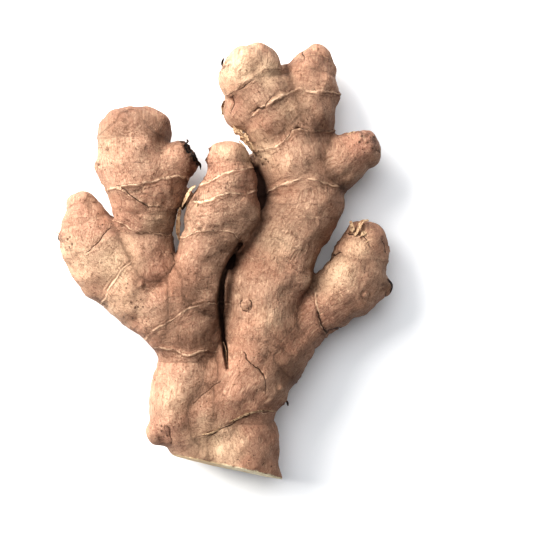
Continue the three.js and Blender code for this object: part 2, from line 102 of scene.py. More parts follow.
# Buds, knobs, dry scales and the low floors of gaps: as the lobes, with a tighter crease
BUDS = {
    "side_bud": (1, [(-21.7, 26.3, 18, 8), (-15.3, 32.3, 18.6, 6.8)]),
    "dry_scales": (1, [(-12.6, 22, 17, 1.3), (-10.4, 19.4, 18, 1.4), (-9, 16, 18.4, 1.2)]),
    "trunk_knob": (1, [(-18.5, -57, 15, 4.8), (-21.6, -57.4, 15, 4.7)]),
    "left_bump": (1, [(-39.6, 30.7, 16, 3), (-40.6, 30.7, 16, 3)]),
    "left_knob": (1, [(-51, 6.6, 12.6, 3.6), (-53, 7.2, 12.6, 2.8)]),
    "right_lower_bud": (1, [(48.5, -9.5, 12, 5), (52, -9, 12, 3.8)]),
    "bridge": (0.9, [(4.6, 9.6, 18.2, 6), (13, 8, 16, 6.8)]),
    "top_crotch": (0.95, [(19.5, 57, 11, 7), (20.3, 60.2, 10.5, 5.2)]),
    "top_skirt": (0.95, [(9.5, 50.5, 14, 8.5), (6, 49.3, 14, 6.8)]),
    "stem_bud": (0.8, [(22, -4, 20.5, 5.6), (24, -6.5, 20, 5.2)]),
    "stem_knob": (1, [(8.6, 32.3, 15, 1.8), (9.6, 32, 15, 1.8)]),
    "under_bud_left": (0.9, [(-24, -12, 7, 5.5), (-24.5, -14, 5, 4)]),
    "under_bud_right": (0.9, [(25, 8, 6, 5.5), (27.5, 9.5, 4.4, 4)]),
    "gap_floor": (1, [(12, 10, 7.5, 5.6), (12.4, 20, 7.4, 5.4), (11, 31, 8.4, 5)]),
    "cleft_floor": (1, [(2, -1, 9, 6), (-0.6, -12, 8.4, 6.2), (0, -27, 8.6, 6.4)]),
}
CUT_BUDS = {"side_bud": BUD_CUT}

# Clefts: upright slots between neighbouring lobes, given as thin and very tall lobes
CLEFTS = {
    "trunk_cleft": (9, [
        (5.3, 5, 25, 0.5), (2.5, 0.5, 24.5, 0.7), (-0.2, -5.5, 24.5, 0.9), (-1.2, -13.7, 24.5, 1),
        (-1, -21, 24.5, 1), (0.2, -30, 25, 1), (1, -36, 27, 0.5)]),
    "left_cleft": (9, [(-15.2, 16, 16, 0.8), (-15.8, 9, 16, 1.1), (-16.4, 2.5, 18, 0.7)]),
    "hand_cleft": (9, [(-41, 23, 14, 1), (-39, 18, 15, 0.9), (-37, 13.6, 18, 0.5)]),
    "right_cleft": (9, [(39, 12, 14, 1), (35.4, 4.4, 14, 1), (32, -3, 16, 0.7)]),
}


# Axes of the lobes as smooth curves
def curve_point(points, place):
    """A point on the centripetal curve through the points, at a place counted in stations."""
    index = min(int(place), len(points) - 2)
    t = place - index
    p1, p2 = points[index], points[index + 1]
    p0 = points[index - 1] if index > 0 else 2 * p1 - p2
    p3 = points[index + 2] if index + 2 < len(points) else 2 * p2 - p1
    d0, d1, d2 = (math.sqrt(np.linalg.norm(b - a)) for a, b in ((p0, p1), (p1, p2), (p2, p3)))
    m1 = d1 * ((p1 - p0) / d0 - (p2 - p0) / (d0 + d1) + (p2 - p1) / d1)
    m2 = d1 * ((p2 - p1) / d1 - (p3 - p1) / (d1 + d2) + (p3 - p2) / d2)
    rise = 2 * (p1 - p2) + m1 + m2
    bend = 3 * (p2 - p1) - 2 * m1 - m2
    return p1 + t * (m1 + t * (bend + t * rise))


def lobe_spans(flat, stations):
    """Short straight spans (start, along, first radius, last radius) of one lobe's axis."""
    points = [np.array((x, y, z / flat)) for x, y, z, _ in stations]
    radii = [station[3] for station in stations]
    count = (len(stations) - 1) * AXIS_STEPS
    knots = [curve_point(points, i / AXIS_STEPS) for i in range(count + 1)]
    widths = [eased_radius(radii, i / AXIS_STEPS) for i in range(count + 1)]
    return [(knots[i], knots[i + 1] - knots[i], widths[i], widths[i + 1]) for i in range(count)]


def eased_radius(radii, place):
    index = min(int(place), len(radii) - 2)
    t = place - index
    ease = t * t * (3 - 2 * t)
    return radii[index] + (radii[index + 1] - radii[index]) * ease


class Lobe:
    """One tapered lobe, with the distance to its skin and the coordinates along its axis."""

    def __init__(self, name, flat, stations, cut=None):
        self.name = name
        self.flat = flat
        self.spans = lobe_spans(flat, stations)
        self.cut = cut
        rows = np.array(stations, float)
        reach = rows[:, 3:] * (1, 1, flat)
        self.low = (rows[:, :3] - reach).min(0)
        self.high = (rows[:, :3] + reach).max(0)

    def beside_spans(self, points):
        """For each span its direction, the place along it, the offset from it, and the gap to its skin."""
        squeezed = points / (1, 1, self.flat)
        for start, along, r0, r1 in self.spans:
            offset = squeezed - start
            t = np.clip(offset @ along / (along @ along), 0, 1)
            away = offset - t[:, None] * along
            yield along, t, away, np.linalg.norm(away, axis=1) - r0 - t * (r1 - r0)

    def distance(self, points):
        nearest = np.full(len(points), np.inf)
        for *_, gap in self.beside_spans(points):
            np.minimum(nearest, gap, out=nearest)
        lobe = nearest * min(self.flat, 1)
        return np.maximum(lobe, plane_distance(self.cut, points)) if self.cut else lobe

    def axis_place(self, points):
        """Length along the axis, and the offset from it, of each point."""
        nearest = np.full(len(points), np.inf)
        length = np.zeros(len(points))
        offset = np.zeros((len(points), 3))
        run = 0.0
        for along, t, away, gap in self.beside_spans(points):
            span = np.linalg.norm(along)
            closer = gap < nearest
            nearest[closer] = gap[closer]
            length[closer] = run + t[closer] * span
            offset[closer] = away[closer]
            run += span
        return length, offset


def plane_distance(plane, points):
    point, normal = (np.array(part, float) for part in plane)
    return (points - point) @ (normal / np.linalg.norm(normal))


def smooth_union(a, b, width):
    """The lower of two distances, rounded where they meet."""
    overlap = np.maximum(width - np.abs(a - b), 0) / width
    return np.minimum(a, b) - overlap * overlap * width * 0.25


# Pairs of waves: direction, length against the lumps', and start
BROAD_WAVES = ((1, 0.4, 0, 1.3), (0, 0.9, -0.3, 0.4))
FINE_WAVES = ((1.7, 0, -1.1, 2.1), (0.6, 1.9, 0, 5.2))


def crossed_waves(waves, points):
    turn = 2 * math.pi / LUMP_LENGTH
    first, second = (np.sin(turn * (points @ wave[:3]) + wave[3]) for wave in waves)
    return first * second


def lump(points):
    broad = crossed_waves(BROAD_WAVES, points)
    fine = crossed_waves(FINE_WAVES, points)
    return LUMP_HEIGHT * (broad + FINE_LUMP_SHARE * fine)


ALL_LOBES = [Lobe(name, *lobe) for name, lobe in LOBES.items()]
ALL_BUDS = [Lobe(name, *bud, cut=CUT_BUDS.get(name)) for name, bud in BUDS.items()]
ALL_CLEFTS = [Lobe(name, *cleft) for name, cleft in CLEFTS.items()]


def near_distance(lobe, points):
    """The distance to a lobe, worked out only for points near its box and large elsewhere."""
    inside = np.all((points > lobe.low - REACH) & (points < lobe.high + REACH), axis=1)
    out = np.full(len(points), REACH)
    out[inside] = lobe.distance(points[inside])
    return out


def body(points):
    """The skin: below zero inside, above zero outside."""
    skin = np.full(len(points), REACH)
    for lobe in ALL_LOBES:
        skin = smooth_union(skin, near_distance(lobe, points), LOBE_BLEND)
    skin = skin - lump(points)
    for bud in ALL_BUDS:
        skin = smooth_union(skin, near_distance(bud, points), BUD_BLEND)
    for cleft in ALL_CLEFTS:
        skin = -smooth_union(-skin, near_distance(cleft, points), CLEFT_BLEND)
    skin = np.maximum(skin, plane_distance(TRUNK_CUT, points))
    return np.maximum(skin, -points[:, 2])


# Surface nets: one vertex in each grid cell that the skin crosses
CORNERS = [(a, b, c) for a in (0, 1) for b in (0, 1) for c in (0, 1)]
COARSE = 4
NEAR_CELLS = 1.6


def grid_values(pitch):
    """Corner values of the grid, exact near the skin and only roughly right away from it."""
    counts = np.ceil((GRID_HIGH - GRID_LOW) / pitch / COARSE).astype(int) * COARSE + 1
    coarse_counts = (counts - 1) // COARSE + 1
    coarse = body(grid_points(coarse_counts, pitch * COARSE)).reshape(coarse_counts)
    nearest = [np.rint(np.arange(n) / COARSE).astype(int) for n in counts]
    values = coarse[np.ix_(*nearest)]
    wanted = np.abs(values) < pitch * COARSE * NEAR_CELLS
    values[wanted] = body(GRID_LOW + np.argwhere(wanted) * pitch)
    return values


def grid_points(counts, pitch):
    axes = [GRID_LOW[i] + np.arange(counts[i]) * pitch for i in range(3)]
    return np.stack(np.meshgrid(*axes, indexing="ij"), axis=-1).reshape(-1, 3)


def corner_slices(grid, corner):
    return grid[tuple(slice(c, grid.shape[i] - 1 + c) for i, c in enumerate(corner))]


def surface_net(values, pitch):
    """Vertices and quads of the zero level of the grid values."""
    total = np.zeros(tuple(n - 1 for n in values.shape) + (3,))
    count = np.zeros(total.shape[:3])
    for start in CORNERS:
        for axis in range(3):
            if start[axis] == 0:
                end = tuple(c + (i == axis) for i, c in enumerate(start))
                a, b = corner_slices(values, start), corner_slices(values, end)
                crossed = (a < 0) != (b < 0)
                share = np.where(crossed, a / np.where(crossed, a - b, 1), 0)
                place = np.array(start, float) + share[..., None] * np.eye(3)[axis]
                total += place * crossed[..., None]
                count += crossed
    active = count > 0
    cells = np.argwhere(active)
    vertices = GRID_LOW + (cells + total[active] / count[active][:, None]) * pitch
    ids = np.full(active.shape, -1)
    ids[active] = np.arange(len(cells))
    return vertices, np.concatenate([quads_along(values, ids, axis) for axis in range(3)])


def quads_along(values, ids, axis):
    """A quad round every crossed grid edge that runs along one axis."""
    u, v = (axis + 1) % 3, (axis + 2) % 3
    low = [1, 1, 1]
    low[axis] = 0
    inner = tuple(slice(low[i], values.shape[i] - 1) for i in range(3))
    beyond = tuple(slice(low[i] + (i == axis), values.shape[i] - 1 + (i == axis)) for i in range(3))
    starts_solid, ends_solid = values[inner] < 0, values[beyond] < 0
    places = np.argwhere(starts_solid != ends_solid) + low
    outward = starts_solid[tuple((places - low).T)]
    ring = []
    for p, q in ((1, 1), (0, 1), (0, 0), (1, 0)):
        cell = places.copy()
        cell[:, u] -= p
        cell[:, v] -= q
        ring.append(ids[tuple(cell.T)])
    quads = np.stack(ring, axis=1)
    quads[~outward] = quads[~outward][:, ::-1]
    return quads


# Moving points on to the skin: the step for its slope, the least slope, and the longest move in cells
SLOPE_STEP = 0.2
FLATTEST_SLOPE = 0.3
LONGEST_MOVE = 0.5


def skin_slope(points):
    """The gradient of the skin's formula, by differences over a short step."""
    steps = np.eye(3) * SLOPE_STEP
    return np.stack([(body(points + s) - body(points - s)) / (2 * SLOPE_STEP) for s in steps], axis=1)


def settle(points, pitch):
    """Points moved on to the skin, by less than a cell and never under the ground."""
    gradient = skin_slope(points)
    steepness = np.maximum((gradient ** 2).sum(1), FLATTEST_SLOPE)
    move = -gradient * (body(points) / steepness)[:, None]
    moved = points + np.clip(move, -pitch * LONGEST_MOVE, pitch * LONGEST_MOVE)
    moved[:, 2] = np.maximum(moved[:, 2], 0)
    return moved


# Noise: seeded values on a lattice, smoothly joined
CELL_FACTORS = (73856093, 19349663, 83492791)
SEED_FACTOR = 2654435761
SCATTER_STEPS = ((15, 2246822519), (13, 3266489917))
LAST_SHIFT = 16
WORD = 2 ** 32


def lattice(cells, seed):
    """A value from -1 to 1 for each cell, which looks random."""
    keys = cells.astype(np.uint32)
    mixed = np.uint32(seed * SEED_FACTOR % WORD)
    for axis, factor in enumerate(CELL_FACTORS):
        mixed = mixed ^ keys[:, axis] * np.uint32(factor)
    for shift, factor in SCATTER_STEPS:
        mixed = (mixed ^ (mixed >> np.uint32(shift))) * np.uint32(factor)
    return (mixed ^ (mixed >> np.uint32(LAST_SHIFT))).astype(float) / (WORD / 2) - 1


def noise(points, size, seed):
    """Smooth noise from -1 to 1, with lumps of about the given size."""
    places = points / size
    cells = np.floor(places).astype(int)
    t = places - cells
    t = t * t * (3 - 2 * t)
    total = np.zeros(len(points))
    for corner in CORNERS:
        weight = np.prod(np.where(corner, t, 1 - t), axis=1)
        total += weight * lattice(cells + corner, seed)
    return total


def noise_sum(points, layers):
    """The sum of several noises, each given by its height, size and seed."""
    return sum(height * noise(points, size, seed) for height, size, seed in layers)


def wander(points, reach, size, seed):
    """Sideways shifts that make a line seen from above wander."""
    return reach * np.stack([noise(points, size, seed), noise(points, size, seed + 1)], axis=1)


def bell(away, width):
    """1 in the middle, falling off to either side over about the width."""
    return np.exp(-(away / width) ** 2)


# Rings: the lobes that each goes round, how strongly it stands out, and its line seen from above
RINGS = [
    ("left_middle_finger", 1.0, ((-42, 23), (-31.3, 24.3), (-20, 26.3), (-15, 26.8), (-9, 25.3))),
    ("left_middle_finger", 0.9, ((-39, 24), (-34.3, 23), (-29, 19.7), (-25, 17.3), (-14, 16.3))),
    ("left_middle_finger left_middle_end", 0.6, ((-46, 36.5), (-29, 36.3), (-24, 36.7), (-15, 37.6))),
    ("left_middle_finger", 0.9, ((-40, 14.6), (-36, 12.9), (-29, 9.3), (-20, 7.5), (-14, 7.7))),
    ("left_middle_finger", 0.5, ((-40, 12.4), (-35, 10.9), (-29, 7.9), (-20, 6), (-14, 6))),
    ("left_hand", 1.0, ((-22, 10), (-25, 5.7), (-30, 1.3), (-34.3, -3.7), (-39, -11.3), (-43, -18))),
    ("left_hand", 0.7, ((-33, 14), (-37.3, 10.3), (-42.3, 4.7), (-46, 2), (-57, -2))),
    ("left_hand", 0.5, ((-54, 13), (-46, 13.6), (-38, 13))),
    ("left_hand left_trunk", 0.7, ((-15, 5), (-16, -1), (-20, -6.3), (-25, -11), (-32, -20))),
    ("left_trunk left_hand centre_finger", 1.0,
     ((3, -14.5), (-2.3, -14.3), (-11.7, -16.3), (-18.3, -20.3), (-24.3, -24), (-30, -29))),
    ("left_trunk", 0.5, ((3, -21), (-2, -22.3), (-7.3, -25), (-12, -26))),
    ("left_trunk", 1.0, ((-26, -28), (-20.7, -29.7), (-11.7, -31.3), (3, -30))),
    ("left_trunk", 0.6, ((-26, -30.4), (-20, -31.6), (-14, -32.6))),
    ("left_trunk middle_trunk right_trunk", 0.9,
     ((24, -49), (16, -51), (10.3, -50), (3.3, -52.7), (-4.3, -57), (-9, -58.5))),
    ("left_trunk middle_trunk right_trunk", 0.4,
     ((-1, -39.7), (-6.7, -44.3), (-10, -47), (-16.7, -53.6))),
    ("right_trunk", 1.0, ((10, 21), (15, 22.3), (20.7, 24.3), (25.7, 26.3), (32.3, 25.3), (42, 23.7))),
    ("right_trunk top_left_lobe top_right_lobe", 1.0,
     ((5, 35), (9, 36.3), (16.7, 37), (21.7, 40), (24, 42), (37, 42.3))),
    ("top_right_lobe top_left_lobe right_trunk", 1.0,
     ((9, 47), (16.7, 52), (20.7, 54.3), (25, 56), (31, 56), (39, 55))),
    ("top_left_lobe", 0.9,
     ((-5, 53), (1.7, 54), (5, 55.7), (9.3, 59), (11.7, 62.3), (16.7, 63), (23, 64))),
    ("top_right_lobe", 0.8, ((22, 66.8), (30, 67.4), (38, 67))),
    ("right_trunk", 0.6, ((8, 15.5), (18.3, 14.7), (27, 13.6), (38, 15))),
    ("right_trunk", 0.4, ((22, 7.8), (25, 7.3), (31, 7), (38, 8))),
    ("right_trunk", 0.7, ((2, 1.5), (11, -1), (18.3, 0), (26.7, -3.7), (34, -6))),
    ("right_trunk", 0.5, ((-1, -14.5), (10, -13.7), (16.7, -12.3), (28, -10.5))),
    ("right_trunk right_lower_finger", 0.5, ((-2, -25), (10, -26.5), (20, -30), (27, -38))),
    ("right_lower_finger", 1.0, ((27, -6), (30.3, -13.7), (32, -21.5), (33.7, -24.7), (37, -31))),
    ("right_lower_finger", 0.7, ((34, 3), (43, 0.5), (56, -1))),
    ("right_finger", 0.7, ((36, 44), (40.5, 34), (40, 22))),
    ("centre_finger", 1.0, ((-16, 14), (-12, 17.8), (-6, 19.6), (2, 21.6), (11.7, 21.6))),
    ("centre_finger", 0.9, ((-15.5, 6.8), (-9, 8), (-2.7, 8.5), (3, 8), (5, 6.3))),
    ("centre_finger right_trunk", 0.7, ((1, 12.4), (5, 12), (9, 12.4), (13.7, 13))),
    ("centre_finger", 1.0, ((-8, 24), (-4.5, 26), (0, 28), (4, 29.2), (10, 29.7))),
]
RING_FADE = 2.5
FAR_RING = 8.0
FAINTEST_RING = 0.05
WEAK_RING_OFFSET = 3.0
# How lines wander: how far, over what length, and first seed
RING_WANDER = (1.0, 6, 1)
RING_TREMBLE = (0.35, 1.7, 3)
CRACK_TREMBLE = (0.45, 1.3, 5)


def line_distance(line, points):
    """The distance seen from above to a line, with a minus sign on its right-hand side."""
    nearest = np.full(len(points), np.inf)
    signed = np.zeros(len(points))
    for (x0, y0), (x1, y1) in zip(line, line[1:]):
        ax, ay = x1 - x0, y1 - y0
        dx, dy = points[:, 0] - x0, points[:, 1] - y0
        t = np.clip((dx * ax + dy * ay) / (ax * ax + ay * ay), 0, 1)
        away = np.hypot(dx - t * ax, dy - t * ay)
        side = np.where(ax * dy - ay * dx >= 0, 1, -1)
        closer = away < nearest
        nearest[closer] = away[closer]
        signed[closer] = (away * side)[closer]
    return signed


def ring_fields(points, distances):
    """The signed distance to the nearest ring, and how strong that ring is there."""
    nearest_lobe = np.min(list(distances.values()), axis=0)
    places = points[:, :2] + wander(points, *RING_WANDER) + wander(points, *RING_TREMBLE)
    best = np.full(len(points), FAR_RING)
    power = np.zeros(len(points))
    for names, strength, line in RINGS:
        own = np.min([distances[name] for name in names.split()], axis=0)
        weight = np.clip(1 - (own - nearest_lobe) / RING_FADE, 0, 1) * strength
        away = line_distance(line, places)
        reach = np.abs(away) + (1 - weight) * WEAK_RING_OFFSET
        closer = (reach < np.abs(best)) & (weight > FAINTEST_RING)
        best[closer] = (np.sign(away) * reach)[closer]
        power[closer] = weight[closer]
    return best, power


# Cracks: width, depth, and a line seen from above
CRACKS = [
    (0.45, 0.55, ((-34.3, 23.7), (-31.5, 21.2), (-29, 19.7), (-25, 17.3))),
    (0.4, 0.6, ((6.7, -30.7), (8, -33.2), (10, -34.7), (11.8, -36), (13.3, -38.7))),
    (0.3, 0.25, ((13.3, -38.7), (13.6, -41), (13.3, -43.7))),
    (0.45, 0.6, ((30.6, -17.5), (32, -21.5), (33.7, -24.7), (36, -23.9), (38.3, -23))),
    (0.7, 0.6, ((9.6, 48.4), (11.2, 49.3), (12.4, 49.2), (14.2, 51.4))),
    (0.45, 0.6, ((2.4, 52.9), (2.7, 51), (2.1, 49))),
    (0.35, 0.4, ((52, 6.3), (53.2, 4.6), (53.7, 2.3))),
    (0.35, 0.4, ((53.7, -11), (53, -14.3))),
    (0.4, 0.5, ((34.6, -0.2), (36, 1.4), (37.5, 2))),
    (0.35, 0.4, ((41, 8.4), (42.6, 8.2), (44.3, 8.9))),
    (0.35, 0.4, ((45, 7.9), (46.6, 6.8), (47.7, 4.7))),
    (0.3, 0.35, ((4.4, 55), (6.6, 56.3), (9.2, 58.6))),
    (0.35, 0.4, ((5.4, -13.6), (5.2, -15.4), (6.2, -16.8), (7.6, -17.2))),
    (0.3, 0.3, ((8.2, -13.6), (9, -14.8), (8.6, -16.2))),
    (0.3, 0.35, ((-4.3, -57.9), (-1, -55.8), (3.5, -53.6), (8.4, -51.2))),
    (0.35, 0.3, ((20.3, 39.5), (22, 42.3), (24.6, 43.4), (27, 42.6))),
    (0.35, 0.4, ((23.8, 72), (25.3, 69.8), (26, 66.9))),
    (0.3, 0.3, ((-17.4, 2), (-16.2, -1), (-18.2, -4.4))),
    (0.3, 0.3, ((-37.6, 10.6), (-41.4, 5.6), (-45, 2.4))),
    (0.25, 0.4, ((-18.8, -55.2), (-17.8, -57.4), (-17.6, -60.6))),
    (0.2, 0.25, ((-1, -39.7), (-6.7, -44.3), (-10, -47))),
]
CRACK_REACH = 4.5

# Deep gaps, with painted shade at the bottom: half width, highest shaded level, and a line seen from above
SHADED_GAPS = [
    (1.6, 18, ((9.6, 33), (10.6, 29), (12, 22), (13, 16))),
    (1.6, 19, ((2, -0.5), (-0.2, -5.5), (-1.2, -13.7), (-1, -21), (0.2, -30), (1, -36))),
    (1.2, 14, ((-15.2, 16), (-15.8, 9), (-16.4, 2.5))),
    (1.0, 14, ((-41, 20), (-38, 15), (-36.4, 12.4))),
    (1.0, 12, ((37, 8), (35.4, 4.4), (32.6, -2))),
]
GAP_SHADE_FADE = 3.0

# Rough or crusted places: centre seen from above, radius, and how dark they are
SCARS = [
    (-1, 64.4, 3.2, 1.0), (23.9, 42.9, 1.1, 0.9), (-32.7, 44.9, 1.3, 0.5), (-32, 42.6, 1.0, 0.5),
    (-28.4, 35.9, 1.0, 0.6), (-25.6, 36.4, 0.7, 0.6), (-54.4, 6.8, 2.4, 0.7), (-52, 4, 1.7, 0.5),
    (-42.4, 31, 2.2, 0.6), (-40, 36.5, 1.2, 0.4), (9.4, 32.4, 1.4, 0.4), (11.2, -26.4, 1.6, 0.4),
    (-9.6, 19.6, 1.8, 0.8), (52.6, -9, 1.6, 0.7), (43.5, 42.4, 2.0, 0.6), (49, 38.5, 2.6, 0.7),
    (50.4, 35.6, 1.6, 0.8), (47, 41.4, 1.6, 0.6), (-21.4, -60, 1.4, 0.4), (19.5, -48.6, 1.2, 0.6),
    (-19.6, 44.8, 1.6, 0.5), (-4.8, 30.6, 1.5, 0.6), (-51.6, -7.8, 1.6, 0.4), (-40, -15.6, 1.6, 0.4),
    (-5, 26, 1.2, 0.3),
]
# Knobbly places: centre seen from above and radius
ROUGH = [
    (44, 40.5, 5.5), (-41, 31, 4), (-30, -18, 8), (48.5, 37.5, 4), (-22, -57, 4), (-53, 5, 5),
    (-36, 11, 5), (12, 34, 5),
]
# Eyes of dormant buds: centre seen from above and radius of a low dome with a groove round it
EYES = [(7, -15.2, 1.9), (-27.2, -8.5, 1.2), (18.5, -42.5, 1.2), (46.5, -12, 1.3), (-8.5, 10.5, 1.2)]
# Pale places, partly the skin's own paler patches and partly painted light that brightens shaded places, and
# flushed places: centre seen from above, radius and strength
PALE_AND_LIT_SPOTS = [
    (12, 35.7, 6, 1.0), (-36, -2, 9, 0.9), (21, 59, 4, 0.4), (4, 63, 9, 0.9), (-4, -61, 9, 1.0),
    (-22, 13, 4, 0.5), (-35, -14, 8, 0.5), (-41, 38, 7, 0.6), (31, -9, 5, 0.5), (-48, -2, 8, 0.6),
    (-17, -46, 7, 0.5), (38, -3, 7, 0.8), (44, 4, 6, 0.7), (34, -8, 6, 0.6), (1, 35, 4, 0.5),
    (14, 62, 6, 0.8), (21, 49, 6, 0.7), (-52, 3, 5, 0.8), (16, 31, 6, 0.4), (18, 5, 7, 0.5),
    (14, -20, 5, 0.3),
]
BLUSH_SPOTS = [
    (-36, 12, 7, 1.0), (-41, 30, 5, 0.8), (-30, 47, 7, 0.6), (-53, 5, 5, 0.7), (45, 39, 8, 1.0),
    (-20, -57, 6, 0.7), (27, -13, 6, 0.8), (-4, 31, 5, 0.7), (-45, 17, 7, 0.5), (-22, -6, 9, 0.5),
    (4, 51, 6, 0.5), (19, 50, 6, 0.3), (-24, 34, 5, 0.5), (35, -20, 5, 0.6), (10, 24, 6, 0.4),
    (22, 3, 8, 0.3), (-10, 0, 7, 0.4),
]
SPOT_WOBBLE = [(0.35, 3.5, 11)]
SPOT_END = 1.3


def spots(points, places):
    """The strongest of several soft round spots, seen from above, at each point."""
    wobble = 1 + noise_sum(points, SPOT_WOBBLE)
    total = np.zeros(len(points))
    for x, y, radius, strength in places:
        away = np.hypot(points[:, 0] - x, points[:, 1] - y) / radius * wobble
        total = np.maximum(total, strength * np.clip(SPOT_END - away, 0, 1))
    return np.clip(total, 0, 1)


def crack_fields(points):
    """The signed distance to the nearest crack in crack widths, its depth, and a power that ends with it."""
    places = points[:, :2] + wander(points, *CRACK_TREMBLE)
    best = np.full(len(points), CRACK_REACH)
    depth = np.zeros(len(points))
    for width, deep, line in CRACKS:
        away = line_distance(line, places) / width
        closer = np.abs(away) < np.abs(best)
        best[closer] = away[closer]
        depth[closer] = deep
    power = np.clip((CRACK_REACH - np.abs(best)) / CRACK_REACH * 2, 0, 1) * (points[:, 2] > UPPER_SIDE)
    return best, depth * power, power


def painted_gap_shade(points):
    """Painted shade: 1 at the bottom of a deep gap, falling to 0 towards its rim."""
    dark = np.zeros(len(points))
    for half_width, highest, line in SHADED_GAPS:
        beside = np.clip(2 - np.abs(line_distance(line, points)) / half_width, 0, 1)
        below = np.clip((highest - points[:, 2]) / GAP_SHADE_FADE, 0, 1)
        dark = np.maximum(dark, beside * below)
    return dark


# An eye's relief, with the groove's place and width in radii
EYE_HEIGHT = 0.8
GROOVE_DEPTH = 0.45
GROOVE_PLACE = 1.15
GROOVE_WIDTH = 0.16


def eye_height(points):
    height = np.zeros(len(points))
    for x, y, radius in EYES:
        away = np.hypot(points[:, 0] - x, points[:, 1] - y) / radius
        dome = EYE_HEIGHT * np.clip(1 - away ** 2, 0, 1)
        groove = GROOVE_DEPTH * bell(away - GROOVE_PLACE, GROOVE_WIDTH)
        height += np.where(points[:, 2] > UPPER_SIDE, dome - groove, 0)
    return height


# Scars of thin roots, with the widths of rim and pit in radii
ROOT_COUNT = 46
ROOT_SPACING = 7.5
ROOT_SEED = 8
ROOT_RADII = (0.75, 1.25)
MOST_UPWARD = 0.05
LOWEST_ROOT = 1.2
NEAREST_THE_CUT = -66
ROOT_REACH = 2.5
RIM_HEIGHT = 0.4
RIM_WIDTH = 0.4
PIT_DEPTH = 0.3
PIT_WIDTH = 0.5
PIT_DARK_WIDTH = 0.6


def root_places(points, normals):
    """Where thin roots broke off: spread over the underside and the lower flanks."""
    rng = np.random.default_rng(ROOT_SEED)
    facing_down = normals[:, 2] < MOST_UPWARD
    low = np.flatnonzero(facing_down & (points[:, 2] > LOWEST_ROOT) & (points[:, 1] > NEAREST_THE_CUT))
    chosen = []
    for index in rng.permutation(low):
        if all(np.linalg.norm(points[index] - points[other]) > ROOT_SPACING for other in chosen):
            chosen.append(index)
        if len(chosen) == ROOT_COUNT:
            break
    return [(points[index], rng.uniform(*ROOT_RADII)) for index in chosen]


def root_fields(points, roots):
    """The height of the root scars, and how dark each point is made by one."""
    height = np.zeros(len(points))
    dark = np.zeros(len(points))
    for centre, radius in roots:
        near = np.flatnonzero(np.abs(points - centre).max(1) < radius * ROOT_REACH)
        away = np.linalg.norm(points[near] - centre, axis=1) / radius
        height[near] += RIM_HEIGHT * bell(away - 1, RIM_WIDTH) - PIT_DEPTH * bell(away, PIT_WIDTH)
        dark[near] = np.maximum(dark[near], bell(away, PIT_DARK_WIDTH))
    return height, dark


# Shifts the grain from lobe to lobe, so that no two look alike
GRAIN_SHIFT = 40
# How far from the crease the painted shade between lobes reaches
CREASE_SHADE_WIDTH = 3.5


def lobe_coordinates(points, distances):
    """The offset from the nearest lobe's axis and the length along it."""
    nearest = np.full(len(points), np.inf)
    grain = np.zeros((len(points), 3))
    for number, lobe in enumerate(ALL_LOBES):
        closer = np.flatnonzero(distances[lobe.name] < nearest)
        nearest[closer] = distances[lobe.name][closer]
        length, offset = lobe.axis_place(points[closer])
        sideways = offset[:, 0] + GRAIN_SHIFT * number
        grain[closer] = np.stack([sideways, offset[:, 1] + offset[:, 2], length], axis=1)
    return grain


def crease_shade(distances):
    """The mask of painted shade in the creases: how deep a point lies between two lobes, from 0 on an open
    side to 1 in the crease.
    """
    ordered = np.sort(np.stack(list(distances.values())), axis=0)
    return np.clip(1 - (ordered[1] - ordered[0]) / CREASE_SHADE_WIDTH, 0, 1)


# A ring's relief in millimetres: a ridge, a step below it, a waist round it and low collars beside it
RIDGE_HEIGHT = 0.26
RIDGE_WIDTH = 0.5
STEP_HEIGHT = 0.3
STEP_LENGTH = 2.5
WAIST_DEPTH = 0.3
WAIST_WIDTH = 4.0
COLLAR_HEIGHT = 0.09
COLLAR_WIDTH = 3.2
COLLAR_TURN = 3.6
COLLAR_WANDER = [(2, 3, 22)]
# How a ring's strength changes along it
PATCH_USUAL = 0.5
PATCH_NOISE = [(1.2, 3.5, 21)]
PATCH_LIMITS = (0, 1.4)
# Lengthwise wrinkles, and how strong they are: usually, in patches and by rings
WRINKLE_STRETCH = (1, 1, 0.16)
WRINKLES = [(0.15, 1.5, 23)]
WRINKLE_USUAL = 0.5
WRINKLE_PATCHES = [(0.7, 9, 24)]
WRINKLE_BY_RINGS = 0.6
# Layers of lumps: height, size and seed
SKIN_LUMPS = [(0.22, 6.5, 25), (0.12, 2.6, 26), (0.1, 1.3, 27)]
ROUGH_LUMPS = [(0.3, 2.2, 28), (0.22, 1.2, 29)]
SCAR_LUMPS = [(0.35, 1.1, 30)]
SCAR_DEPTH = 0.15
CRUST_LUMPS = [(0.9, 1.3, 32), (0.5, 3, 33)]
CUT_LUMPS = [(0.07, 1.2, 31)]
CUT_STRETCH = (1, 0.3, 1)
CUT_RIM = 0.8
GROUND_FADE = 1.5


def ring_relief(points, away, power):
    """The height of the rings."""
    strength = power * np.clip(PATCH_USUAL + noise_sum(points, PATCH_NOISE), *PATCH_LIMITS)
    ridge = RIDGE_HEIGHT * strength * bell(away, RIDGE_WIDTH)
    step = STEP_HEIGHT * strength * np.where(away < 0, np.exp(np.minimum(away, 0) / STEP_LENGTH), 0)
    waist = WAIST_DEPTH * power * bell(away, WAIST_WIDTH)
    wave = np.sin(away * COLLAR_TURN + noise_sum(points, COLLAR_WANDER))
    return ridge + step - waist + COLLAR_HEIGHT * power * wave * bell(away, COLLAR_WIDTH)


